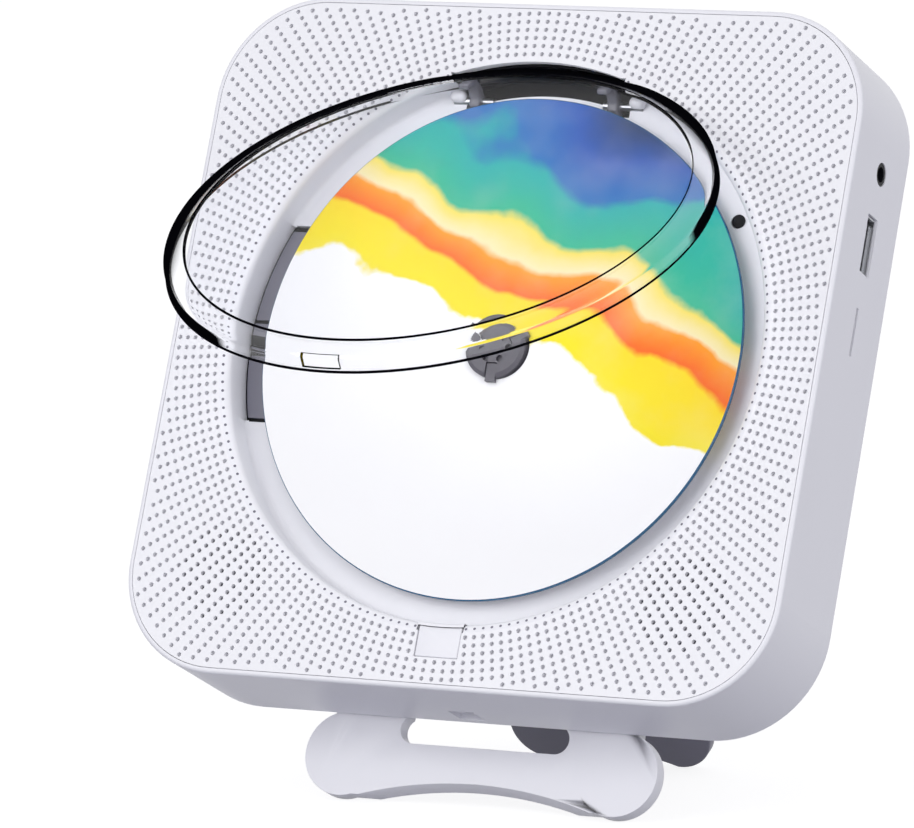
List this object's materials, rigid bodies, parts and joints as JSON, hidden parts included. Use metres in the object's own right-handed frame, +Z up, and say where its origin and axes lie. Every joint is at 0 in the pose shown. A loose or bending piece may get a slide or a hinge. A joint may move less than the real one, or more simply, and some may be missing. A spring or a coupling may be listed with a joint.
{
  "type": "wall mounted cd player",
  "caption": "Slim square white disc player with a round open bay, perforated front, clear lid on a top hinge, ports on the right side, and a foot and folding prop.",
  "frame": {"origin": "on the floor, in the middle of the bounding box, under the player as it leans back on its stand with the lid open", "axes": "+X to the player's right as seen from the front, -Y to the front, +Z up"},
  "size_m": [0.164, 0.1547, 0.1824],
  "materials": {
    "shell": "satin white",
    "panel": "satin white",
    "clear": "clear, polished",
    "keys": "satin white",
    "dark": "dark grey, fine matt",
    "black": "black, matt",
    "deck": "mid grey, matt",
    "hub": "grey, matt",
    "steel": "plain steel",
    "board": "green lacquer",
    "rubber": "soft, matt",
    "lens": "polished",
    "cone": "black paper",
    "disc": "printed, glossy",
    "magnet": "plated"
  },
  "bodies": {
    "housing": {"rear_shell": "shell", "front_baffle": "panel", "front_grille": "panel", "disc_bay": "shell", "hinge_pocket": "black", "hinge_pins": "steel", "button_spring": "steel", "latch_spring": "steel", "ir_window": "black", "mech_deck": "deck", "deck_bushes": "rubber", "deck_screws": "steel", "spindle_motor": "steel", "guide_rails": "steel", "main_board": "board", "io_board": "board", "usb_port": "steel", "card_socket": "steel", "aux_jack": "black", "dc_jack": "black", "speaker_frames": "dark", "speaker_cones": "cone", "speaker_magnets": "magnet", "key_board": "board", "housing_screws": "steel", "stand_foot": "shell", "stand_screws": "steel", "prop_bracket": "dark", "prop_pin": "steel"},
    "lid": {"lid": "clear"},
    "open_button": {"open_button": "shell"},
    "lid_latch": {"lid_latch": "shell"},
    "turntable": {"turntable": "hub", "hub_jaws": "hub", "compact_disc": "disc"},
    "pickup": {"pickup_sled": "black", "pickup_lens": "lens"},
    "prop": {"prop_leg": "dark"},
    "key_1": {"key_1": "keys"},
    "key_2": {"key_2": "keys"},
    "key_3": {"key_3": "keys"},
    "key_4": {"key_4": "keys"},
    "key_5": {"key_5": "keys"}
  },
  "joints": [
    {"name": "lid_hinge", "type": "hinge", "parent": "housing", "child": "lid", "pos_m": [0, 0.03661, 0.15921], "axis": [1, 0, 0], "range_deg": [0, 42.5]},
    {"name": "button_press", "type": "slide", "parent": "housing", "child": "open_button", "axis": [0, 0.9212, -0.3891], "range_m": [0, 0.0012], "stiffness_N_per_m": 400},
    {"name": "latch_slide", "type": "slide", "parent": "housing", "child": "lid_latch", "axis": [0, -0.3891, -0.9212], "range_m": [0, 0.0014]},
    {"name": "disc_spin", "type": "hinge", "parent": "housing", "child": "turntable", "pos_m": [0, 0.00992, 0.10514], "axis": [0, 0.9212, -0.3891], "continuous": true},
    {"name": "pickup_slide", "type": "slide", "parent": "housing", "child": "pickup", "axis": [-1, 0, 0], "range_m": [0, 0.03]},
    {"name": "prop_fold", "type": "hinge", "parent": "housing", "child": "prop", "pos_m": [0, 0.03675, 0.08295], "axis": [-1, 0, 0], "range_deg": [0, 48.3]},
    {"name": "key_1_press", "type": "slide", "parent": "housing", "child": "key_1", "axis": [0, -0.3891, -0.9212], "range_m": [0, 0.0008], "stiffness_N_per_m": 400},
    {"name": "key_2_press", "type": "slide", "parent": "housing", "child": "key_2", "axis": [0, -0.3891, -0.9212], "range_m": [0, 0.0008], "stiffness_N_per_m": 400},
    {"name": "key_3_press", "type": "slide", "parent": "housing", "child": "key_3", "axis": [0, -0.3891, -0.9212], "range_m": [0, 0.0008], "stiffness_N_per_m": 400},
    {"name": "key_4_press", "type": "slide", "parent": "housing", "child": "key_4", "axis": [0, -0.3891, -0.9212], "range_m": [0, 0.0008], "stiffness_N_per_m": 400},
    {"name": "key_5_press", "type": "slide", "parent": "housing", "child": "key_5", "axis": [0, -0.3891, -0.9212], "range_m": [0, 0.0008], "stiffness_N_per_m": 400}
  ],
  "couplings": [
    {"joint": "latch_slide", "follows": "button_press", "ratio": 1.1667}
  ]
}
